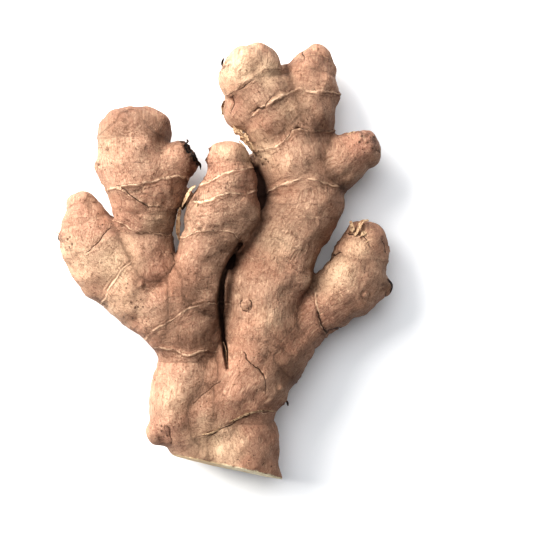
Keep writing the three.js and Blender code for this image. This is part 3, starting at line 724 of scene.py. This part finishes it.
def relief(points, fields):
    """How far each point of the smooth skin is pushed out, in millimetres."""
    power = fields["ring_power"]
    wrinkled = WRINKLE_USUAL + noise_sum(points, WRINKLE_PATCHES) + WRINKLE_BY_RINGS * power
    total = ring_relief(points, fields["ring"], power)
    total += noise_sum(fields["grain"] * WRINKLE_STRETCH, WRINKLES) * wrinkled
    total += noise_sum(points, SKIN_LUMPS)
    total += fields["rough"] * noise_sum(points, ROUGH_LUMPS)
    total += fields["crust"] * noise_sum(points, CRUST_LUMPS)
    total += fields["scar"] * (noise_sum(points, SCAR_LUMPS) - SCAR_DEPTH)
    total -= fields["crack_depth"] * bell(fields["crack"], 1)
    total += eye_height(points) + fields["root_height"]
    skin_share = np.clip(-plane_distance(TRUNK_CUT, points) / CUT_RIM, 0, 1)
    cut_grain = noise_sum(points * CUT_STRETCH, CUT_LUMPS)
    above_ground = np.clip(points[:, 2] / GROUND_FADE, 0, 1)
    return (total * skin_share + cut_grain * (1 - skin_share)) * above_ground


# The crust of the dried side bud
CRUST_DEPTH = 1.2
CRUST_REACH = 8
CRUST_FADE = 1.5


def bud_end(points):
    """1 on the dried end of the side bud, falling to 0 just round its rim."""
    beyond = plane_distance(BUD_CUT, points)
    away = np.linalg.norm(points - np.array(BUD_CUT[0], float), axis=1)
    return np.clip(1 + beyond / CRUST_DEPTH, 0, 1) * np.clip((CRUST_REACH - away) / CRUST_FADE, 0, 1)


def skin_fields(points, normals):
    distances = {lobe.name: near_distance(lobe, points) for lobe in ALL_LOBES}
    ring, power = ring_fields(points, distances)
    crack, depth, crack_power = crack_fields(points)
    root_height, root_dark = root_fields(points, root_places(points, normals))
    scar_side = points[:, 2] > SCAR_SIDE
    return {
        "ring": ring, "ring_power": power,
        "crack": crack, "crack_depth": depth, "crack_power": crack_power,
        # The crease field is the mask of painted shade between lobes
        "grain": lobe_coordinates(points, distances), "crease_shade": crease_shade(distances),
        "scar": spots(points, [(*spot[:3], 1.0) for spot in SCARS]) * scar_side,
        "scar_dark": spots(points, SCARS) * scar_side,
        "rough": spots(points, [(*spot, 1.0) for spot in ROUGH]),
        "pale": spots(points, PALE_AND_LIT_SPOTS), "blush": spots(points, BLUSH_SPOTS),
        "root_height": root_height, "root": root_dark,
        # The gap field is the mask of painted shade at the bottom of deep gaps
        "flesh": -plane_distance(TRUNK_CUT, points), "gap": painted_gap_shade(points),
        "crust": bud_end(points),
    }


# The skin as a Blender mesh, with all fields for its material but those that only the relief reads
RELIEF_ONLY = ("crack_depth", "scar", "root_height")


def add_object(name, data):
    """A new object, linked into the scene."""
    added = bpy.data.objects.new(name, data)
    bpy.context.scene.collection.objects.link(added)
    return added


def smooth_mesh(name, points, faces):
    """A smooth mesh in metres, from points in millimetres of the plan."""
    mesh = bpy.data.meshes.new(name)
    mesh.from_pydata(((np.array(points) - PLAN_CENTRE) * MM).tolist(), [], faces)
    mesh.shade_smooth()
    return mesh


def make_skin():
    pitch = GRID_PITCH
    points, quads = surface_net(grid_values(pitch), pitch)
    points = settle(settle(points, pitch), pitch)
    gradient = skin_slope(points)
    normals = gradient / np.maximum(np.linalg.norm(gradient, axis=1), FLATTEST_SLOPE)[:, None]
    fields = skin_fields(points, normals)
    raised = points + normals * relief(points, fields)[:, None]
    raised[:, 2] = np.maximum(raised[:, 2], 0)
    mesh = smooth_mesh("ginger_skin", raised, quads.tolist())
    for name, values in fields.items():
        if name not in RELIEF_ONLY:
            kind, slot = ("FLOAT_VECTOR", "vector") if values.ndim == 2 else ("FLOAT", "value")
            attribute = mesh.attributes.new(name, kind, "POINT")
            attribute.data.foreach_set(slot, values.astype(np.float32).ravel())
    return add_object("ginger_skin", mesh)


# Dry scales and root ends: tilt in degrees, width, and a line. A point with no height lies on the skin
PALE_STRIPS = [
    (30, 0.9, ((17, -50.3), (12.3, -49.7), (8.7, -50.3), (3.3, -52.7), (-4.3, -57), (-7.3, -57.7))),
    (10, 2.6, ((2, 45, 15.5), (4.6, 42.2, 16.2), (7.2, 39.4, 16.6), (9.8, 35.6, 16.4))),
    (70, 1.2, ((2.4, 44.6, 17), (5.6, 41, 18.4), (8.6, 36.8, 18), (10, 33.6, 17))),
    (0, 0.5, ((4.6, 39, 19), (6.6, 36.8, 18.6), (7.6, 34, 18), (9.2, 32, 17.4))),
    (50, 2.0, ((-14, 17, 22), (-12.6, 19.6, 24.4), (-11, 22.4, 25), (-9.6, 24, 24))),
    (20, 1.6, ((-12.6, 17.6, 23), (-10.6, 17.2, 25), (-8.6, 17.6))),
    (40, 1.8, ((-14.6, 17, 22), (-15.2, 13.4, 23), (-15.4, 9, 23), (-14.8, 6, 22))),
    (70, 1.3, ((-0.4, -27.4, 20), (0.5, -30.6, 20.6), (0.7, -34.4, 21.4))),
    (20, 1.7, ((41.6, 8.4), (42.2, 10.4, 18), (41.6, 12.6, 18.4))),
    (40, 1.6, ((43, 7.6), (44.4, 10, 19), (45.6, 12.4, 18.6), (47.6, 12.8, 17.4))),
    (10, 1.5, ((44.6, 7), (46.6, 9, 18.6), (49, 9.6, 18))),
    (60, 1.1, ((46.8, 5.6), (49, 7, 16.6), (51, 6.8, 15))),
    (20, 0.9, ((40.2, 41), (42.8, 42, 17), (44.6, 41.4, 17.6))),
    (50, 1.0, ((49.8, 39.6, 15.6), (50.6, 37.4, 15), (51, 35.4, 14))),
    (40, 1.1, ((-0.2, 52.6, 17), (-0.9, 50.4, 16.6), (-0.8, 48, 16))),
    (0, 0.5, ((1.2, 50, 16), (-0.6, 48.8, 15), (-1.6, 47, 14))),
    (0, 0.5, ((-55, 7.8, 13), (-56.2, 9, 12), (-56.8, 8.8, 11))),
    (40, 0.9, ((-31, -18.8), (-33, -18, 13), (-34.4, -19, 12))),
]
DARK_STRIPS = [
    (50, 1.0, ((-15.8, 38.8, 19), (-13.6, 38.4, 21), (-12, 37.2, 21), (-11.2, 35.6, 20.6))),
    (70, 1.2, ((-12.6, 37, 20), (-10.8, 35.6, 21), (-9.6, 33.6, 21), (-9.6, 31.4, 19.6))),
    (20, 0.9, ((-11, 34.4, 23), (-9.4, 33, 21.6), (-9, 30.6, 20))),
    (80, 0.8, ((-14.4, 37.6, 22.4), (-12.4, 36.4, 23), (-11, 34.4, 23))),
    (40, 0.8, ((-13.4, 37.6, 19), (-12.2, 38.8, 18), (-12.6, 39.6, 17))),
    (30, 0.8, ((-10.4, 33, 18), (-8.4, 31.6, 17.6), (-8, 29.6, 17))),
    (60, 1.4, ((-0.4, 66.6, 16.4), (-1, 65, 17), (-0.8, 62.6, 17))),
    (60, 1.4, ((54, -6.6, 15), (55.4, -8.8, 14.6), (55, -11.2, 13.4))),
    (30, 0.8, ((-53.4, 8.8, 13), (-55, 8.2, 13.6), (-55.6, 6.4, 13))),
    (20, 0.7, ((-21.6, -60.6, 14), (-23.6, -61.2, 13), (-24.4, -60.4, 12))),
    (20, 0.7, ((19.2, -46.4, 13), (20.6, -47.6, 13), (21, -49, 12))),
]
STRIP_STEPS = 8
STRIP_SIDES = 8
STRIP_THICKNESS = 0.2
STRIP_LIFT = 0.15
STRIP_BOW = 0.25
STRIP_TWIST = 0.4
STRIP_RAGGED = 0.5
STRIP_NOISE = (0.9, 41)
# Blunt ends of the half wave that tapers a strip, and its power
BLUNT_END = 0.08
TAPER_POWER = 0.6
HIGHEST_SKIN = 36.0
HEIGHT_STEP = 0.25


def skin_height(x, y):
    levels = np.arange(0, HIGHEST_SKIN, HEIGHT_STEP)
    column = np.stack([np.full(len(levels), x), np.full(len(levels), y), levels], axis=1)
    inside = np.flatnonzero(body(column) < 0)
    return levels[inside[-1]] if len(inside) else 0.0


def strip_directions(axis, i, lean):
    """Across a strip and through it, at one point of its axis."""
    along = axis[min(i + 1, len(axis) - 1)] - axis[max(i - 1, 0)]
    along /= np.linalg.norm(along)
    level = np.cross(along, (0, 0, 1))
    level /= np.linalg.norm(level)
    upward = np.cross(level, along)
    across = math.cos(lean) * level + math.sin(lean) * upward
    return across, np.cross(across, along)


def strip_sections(tilt, width, line):
    """Rings of points round one curved strip, tapered and ragged along its edges."""
    knots = []
    for x, y, *height in line:
        z = height[0] if height else skin_height(x, y) + STRIP_LIFT * width
        knots.append(np.array((x, y, z), float))
    count = (len(knots) - 1) * STRIP_STEPS
    axis = np.array([curve_point(knots, i / STRIP_STEPS) for i in range(count + 1)])
    ragged = noise(axis, *STRIP_NOISE)
    rings = []
    for i, centre in enumerate(axis):
        lean = math.radians(tilt * (1 + STRIP_TWIST * ragged[i]))
        across, through = strip_directions(axis, i, lean)
        wave_place = BLUNT_END + (1 - 2 * BLUNT_END) * i / count
        taper = math.sin(math.pi * wave_place) ** TAPER_POWER
        half = 0.5 * width * taper * (1 + STRIP_RAGGED * ragged[i])
        for side in range(STRIP_SIDES):
            turn = 2 * math.pi * side / STRIP_SIDES
            bow = STRIP_BOW * half * math.cos(turn) ** 2
            reach = 0.5 * STRIP_THICKNESS * math.sin(turn) + bow
            rings.append(centre + half * math.cos(turn) * across + reach * through)
    return rings, count


def tube_faces(first, count):
    """Faces round one strip, and one over each of its ends."""
    faces = []
    for i in range(count):
        for side in range(STRIP_SIDES):
            a = first + i * STRIP_SIDES + side
            b = first + i * STRIP_SIDES + (side + 1) % STRIP_SIDES
            faces.append((a, b, b + STRIP_SIDES, a + STRIP_SIDES))
    start = [first + side for side in range(STRIP_SIDES)]
    faces.append(tuple(reversed(start)))
    faces.append(tuple(point + count * STRIP_SIDES for point in start))
    return faces


def make_strips(name, strips, material):
    points, faces = [], []
    for strip in strips:
        rings, count = strip_sections(*strip)
        faces += tube_faces(len(points), count)
        points += rings
    mesh = smooth_mesh(name, points, faces)
    mesh.materials.append(material)
    strips_object = add_object(name, mesh)
    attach(strips_object, "root")


# Materials
class Shader:
    """A material with a few short calls for adding and joining its nodes."""

    def __init__(self, name):
        self.material = bpy.data.materials.new(name)
        self.material.use_nodes = True
        self.tree = self.material.node_tree
        self.surface = self.tree.nodes["Principled BSDF"]

    def node(self, kind, inputs=None, **settings):
        node = self.tree.nodes.new("ShaderNode" + kind)
        for name, value in settings.items():
            setattr(node, name, value)
        for name, value in (inputs or {}).items():
            self.feed(value, node.inputs[name])
        return node

    def feed(self, value, socket):
        if isinstance(value, bpy.types.NodeSocket):
            self.tree.links.new(value, socket)
        else:
            socket.default_value = value

    def give(self, name, value):
        self.feed(value, self.surface.inputs[name])

    def math(self, operation, *values, clamp=False):
        inputs = dict(enumerate(values))
        return self.node("Math", inputs, operation=operation, use_clamp=clamp).outputs[0]

    def plus(self, a, b):
        return self.math("ADD", a, b)

    def minus(self, a, b):
        return self.math("SUBTRACT", a, b)

    def times(self, a, b):
        return self.math("MULTIPLY", a, b)

    def absolute(self, value):
        return self.math("ABSOLUTE", value)

    def mix(self, share, a, b):
        return self.node("Mix", {0: share, 6: a, 7: b}, data_type="RGBA").outputs[2]

    def layered(self, base, layers):
        """A colour under layers, each with its place, strength and colour."""
        for where, strength, tint in layers:
            base = self.mix(self.times(where, strength), base, tint)
        return base

    def attribute(self, name, output="Fac"):
        return self.node("Attribute", attribute_name=name).outputs[output]

    def position(self):
        """The position on the object, in millimetres."""
        return self.stretch(self.node("TexCoord").outputs["Object"], (1 / MM, 1 / MM, 1 / MM))

    def stretch(self, vector, factors):
        return self.node("VectorMath", {0: vector, 1: factors}, operation="MULTIPLY").outputs[0]

    def noise(self, vector, size, detail=3.0, roughness=0.55, distortion=0.0):
        """Noise from 0 to 1 whose lumps are about the given size."""
        inputs = {"Vector": vector, "Scale": 1 / size, "Detail": detail,
                  "Roughness": roughness, "Distortion": distortion}
        return self.node("TexNoise", inputs).outputs[0]

    def band(self, value, low, high):
        """0 below one value and 1 above the other, or the other way round."""
        inputs = {"Value": value, "From Min": low, "From Max": high}
        return self.node("MapRange", inputs, interpolation_type="SMOOTHSTEP").outputs[0]

    def cell_distance(self, vector, size):
        """The distance to the nearest of many scattered points."""
        inputs = {"Vector": vector, "Scale": 1 / size}
        return self.node("TexVoronoi", inputs).outputs["Distance"]

    def bump(self, height):
        """Bumps with their height in millimetres."""
        node = self.node("Bump", {"Strength": 1.0, "Distance": MM, "Height": height})
        self.give("Normal", node.outputs[0])


def colour(red, green, blue):
    """A colour given as it looks on screen, turned into the shader's linear light."""
    linear = [c / 12.92 if c <= 0.04045 else ((c + 0.055) / 1.055) ** 2.4 for c in (red, green, blue)]
    return (*linear, 1.0)


TAN = colour(0.67, 0.54, 0.455)
WARM_TAN = colour(0.665, 0.51, 0.425)
GREY_TAN = colour(0.59, 0.47, 0.395)
PINK = colour(0.67, 0.495, 0.42)
CREAM = colour(0.86, 0.75, 0.63)
RING_PALE = colour(0.86, 0.73, 0.62)
REDDISH = colour(0.49, 0.345, 0.255)
BROWN = colour(0.36, 0.24, 0.17)
DARK_BROWN = colour(0.26, 0.165, 0.11)
# The colour of the painted shade in deep gaps
GAP_SHADE_BROWN = colour(0.27, 0.18, 0.145)
CRUST = colour(0.10, 0.08, 0.07)
PALE_SCALE = colour(0.76, 0.65, 0.53)
DRY_SCALE = colour(0.42, 0.29, 0.22)
FLESH = colour(0.97, 0.92, 0.80)
FLESH_DRY = colour(0.87, 0.76, 0.61)


# Stretch of fibres and veins along the lobes
FIBRE_STRETCH = (1, 1, 0.13)
VEIN_STRETCH = (1, 1, 0.35)


class SkinShader(Shader):
    """The skin's material, with the patterns that its colours and bumps share."""

    def __init__(self):
        super().__init__("ginger_skin")
        self.place = self.position()
        self.grain = self.attribute("grain", "Vector")
        self.ring = self.attribute("ring")
        self.power = self.attribute("ring_power")
        self.broad = self.noise(self.place, 20, detail=2)
        self.middle = self.noise(self.place, 5, detail=5, roughness=0.65)
        self.fibre = self.noise(self.stretch(self.grain, FIBRE_STRETCH), 0.55, detail=4, roughness=0.7)
        self.mottle = self.noise(self.place, 1.5, detail=5, roughness=0.75, distortion=0.6)
        self.fine = self.noise(self.place, 0.45, detail=3, roughness=0.7)
        self.patchy = self.band(self.noise(self.place, 3.2, detail=3), 0.36, 0.52)

    def ragged(self, value, reach):
        """A value made uneven by the mottle."""
        return self.plus(value, self.times(self.minus(self.mottle, 0.5), reach))


def vein_lines(s):
    """Thin lines where a stretched noise passes its middle value."""
    stretched = s.noise(s.stretch(s.grain, VEIN_STRETCH), 2.4, detail=3, distortion=1.0)
    line = s.band(s.absolute(s.minus(stretched, 0.5)), 0.014, 0.002)
    return s.times(line, s.band(s.middle, 0.42, 0.58))


def below_ring(s):
    """The skin for a few millimetres below a ring."""
    near = s.times(s.band(s.ring, -6.0, -0.4), s.math("LESS_THAN", s.ring, 0.0))
    return s.times(near, s.power)


def ring_line(s):
    """The ring itself, a ragged line with gaps."""
    line = s.band(s.ragged(s.absolute(s.ring), 1.1), 0.4, 0.1)
    return s.times(line, s.times(s.patchy, s.power))


def ring_shadow(s):
    """Painted shadow: a thin dark line just below the ring."""
    line = s.band(s.absolute(s.plus(s.ring, 0.7)), 0.4, 0.1)
    return s.times(s.times(line, s.power), s.patchy)


def ring_creases(s):
    """Fine creases that run beside a ring."""
    wave = s.math("SINE", s.plus(s.times(s.ring, 3.3), s.times(s.middle, 14.0)))
    crease_line = s.times(s.band(wave, 0.86, 0.99), s.band(s.absolute(s.ring), 5.5, 1.0))
    return s.times(crease_line, s.times(s.power, s.band(s.mottle, 0.42, 0.55)))


def speck_dots(s):
    """Small specks, larger in patches and where the skin is rough."""
    size = s.times(s.band(s.noise(s.place, 7, detail=2), 0.46, 0.7), 0.17)
    size = s.plus(size, s.times(s.attribute("rough"), 0.2))
    away = s.plus(s.cell_distance(s.place, 1.7), s.times(s.fine, 0.12))
    return s.band(s.minus(away, size), 0.09, 0.02)


def crack_lines(s):
    torn = s.plus(s.absolute(s.attribute("crack")), s.times(s.fine, 1.1))
    return s.times(s.band(torn, 1.15, 0.75), s.attribute("crack_power"))


def flesh_colour(s):
    """The cut end: pale with dots of fibre, drier towards the left and in patches."""
    dots = s.band(s.cell_distance(s.place, 1.1), 0.25, 0.1)
    across = s.node("SeparateXYZ", {0: s.place}).outputs[0]
    patches = s.band(s.middle, 0.45, 0.7)
    dried = s.math("ADD", s.band(across, 6.0, -8.0), patches, clamp=True)
    return s.layered(FLESH, [(dots, 0.5, FLESH_DRY), (dried, 1.0, FLESH_DRY)])


def skin_material():
    s = SkinShader()
    veins = vein_lines(s)
    line = ring_line(s)
    creases = ring_creases(s)
    specks = speck_dots(s)
    cracks = crack_lines(s)
    crust = s.ragged(s.attribute("crust"), 2.0)
    depth = s.ragged(s.attribute("flesh"), 1.6)
    # Where each layer of colour lies, how strong it is, and its colour
    base = s.layered(s.mix(s.band(s.broad, 0.4, 0.6), TAN, WARM_TAN), [
        (s.band(s.middle, 0.48, 0.68), 0.5, GREY_TAN),
        (s.times(s.attribute("blush"), s.band(s.middle, 0.3, 0.62)), 0.8, PINK),
        # Pale spots: partly the skin's own paler patches, partly painted light
        (s.attribute("pale"), 0.65, CREAM),
        (s.band(s.mottle, 0.5, 0.68), 0.32, REDDISH),
        (s.band(s.mottle, 0.47, 0.32), 0.32, CREAM),
        (s.band(s.fibre, 0.5, 0.64), 0.5, REDDISH),
        (s.band(s.fibre, 0.47, 0.36), 0.3, CREAM),
        (veins, 0.5, BROWN),
        (below_ring(s), 0.18, BROWN),
        (line, 0.9, RING_PALE),
        # Painted shadow under the rings
        (ring_shadow(s), 0.5, BROWN),
        (creases, 0.45, BROWN),
        (specks, 0.7, DARK_BROWN),
        (cracks, 0.85, DARK_BROWN),
        (s.times(s.attribute("scar_dark"), s.band(s.mottle, 0.4, 0.55)), 0.85, DARK_BROWN),
        (s.attribute("root"), 0.7, DARK_BROWN),
        # Painted shade: brown in the creases between lobes
        (s.band(s.attribute("crease_shade"), 0.2, 1.0), 0.5, BROWN),
        # Painted shade at the bottom of deep gaps
        (s.attribute("gap"), 0.9, GAP_SHADE_BROWN),
        (s.band(crust, 0.1, 0.5), 0.7, BROWN),
        (s.band(crust, 0.75, 1.0), 1.0, CRUST),
        (s.band(depth, 0.55, 0.2), 1.0, flesh_colour(s)),
    ])
    # How far each pattern stands out, in millimetres
    heights = [
        (s.fine, 0.3), (s.mottle, 0.6), (line, 0.22), (specks, -0.12), (cracks, -0.35),
        (veins, -0.1), (creases, -0.18)]
    height = s.times(s.fibre, 0.55)
    for pattern, share in heights:
        height = s.plus(height, s.times(pattern, share))
    s.bump(height)
    s.give("Base Color", base)
    s.give("Roughness", s.plus(0.5, s.times(s.middle, 0.22)))
    s.give("Specular IOR Level", 0.35)
    return s.material


def scale_material(name, pale, dark):
    """Dry papery scales, streaked between two colours."""
    s = Shader(name)
    streaks = s.noise(s.position(), 1.1, detail=4, roughness=0.7, distortion=1.0)
    s.bump(s.times(streaks, 0.5))
    s.give("Base Color", s.mix(s.band(streaks, 0.46, 0.62), pale, dark))
    s.give("Roughness", 0.7)
    s.give("Specular IOR Level", 0.3)
    return s.material


def floor_material():
    s = Shader("white_surface")
    s.give("Base Color", (0.9, 0.9, 0.9, 1))
    s.give("Roughness", 0.9)
    s.give("Specular IOR Level", 0.1)
    return s.material


# The floor, in metres, a little below the hand
FLOOR_HALF = 3.0
FLOOR_DROP = 0.0004


def make_floor():
    corners = [(x * FLOOR_HALF, y * FLOOR_HALF, 0) for x, y in ((-1, -1), (1, -1), (1, 1), (-1, 1))]
    mesh = bpy.data.meshes.new("floor")
    mesh.from_pydata(corners, [], [(0, 1, 2, 3)])
    mesh.materials.append(floor_material())
    floor = add_object("floor", mesh)
    floor.location.z = -FLOOR_DROP


# Lights: name, direction, distance and width in metres, power, and colour
LIGHTS = [
    ("key", (-0.82, 0.54, 0.48), 0.95, 1.0, 24.0, (1.0, 0.985, 0.96)),
    ("overhead", (-0.03, 0.38, 1.0), 1.6, 1.6, 16.5, (0.95, 0.97, 1.0)),
]
SKY_COLOUR = (0.93, 0.96, 1.0, 1)
SKY_STRENGTH = 0.15


def make_lights():
    for name, direction, distance, size, power, tint in LIGHTS:
        light = bpy.data.lights.new(name, "AREA")
        light.shape = "DISK"
        light.size = size
        light.energy = power
        light.color = tint
        lamp = add_object(name, light)
        lamp.location = Vector(direction).normalized() * distance
        lamp.rotation_euler = Vector(direction).to_track_quat("Z", "Y").to_euler()
    world = bpy.data.worlds.new("studio")
    world.use_nodes = True
    sky = world.node_tree.nodes["Background"]
    sky.inputs["Color"].default_value = SKY_COLOUR
    sky.inputs["Strength"].default_value = SKY_STRENGTH
    bpy.context.scene.world = world


# The camera: straight above, where the photo's middle falls, with the photo's width at lobe height
PHOTO_WIDTH = 177.7
PHOTO_MIDDLE = (13.8, -2.5)
LOBE_HEIGHT = 13.0
LENS = 135.0
SENSOR = 36.0


def make_camera():
    camera_data = bpy.data.cameras.new("camera")
    camera_data.lens = LENS
    camera_data.sensor_width = SENSOR
    camera = add_object("camera", camera_data)
    height = LOBE_HEIGHT + PHOTO_WIDTH * LENS / SENSOR
    middle = np.array((*PHOTO_MIDDLE, height)) - PLAN_CENTRE
    camera.location = Vector(middle * MM)
    bpy.context.scene.camera = camera


skin = make_skin()
skin.data.materials.append(skin_material())
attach(skin, "root")
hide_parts("ginger_root")
make_strips("pale_scales", PALE_STRIPS, scale_material("pale_scale", PALE_SCALE, DRY_SCALE))
make_strips("dark_scales", DARK_STRIPS, scale_material("dark_scale", CRUST, BROWN))
make_floor()
make_lights()
make_camera()
bpy.context.scene.view_settings.view_transform = "Standard"
bpy.context.scene.view_settings.look = "High Contrast"
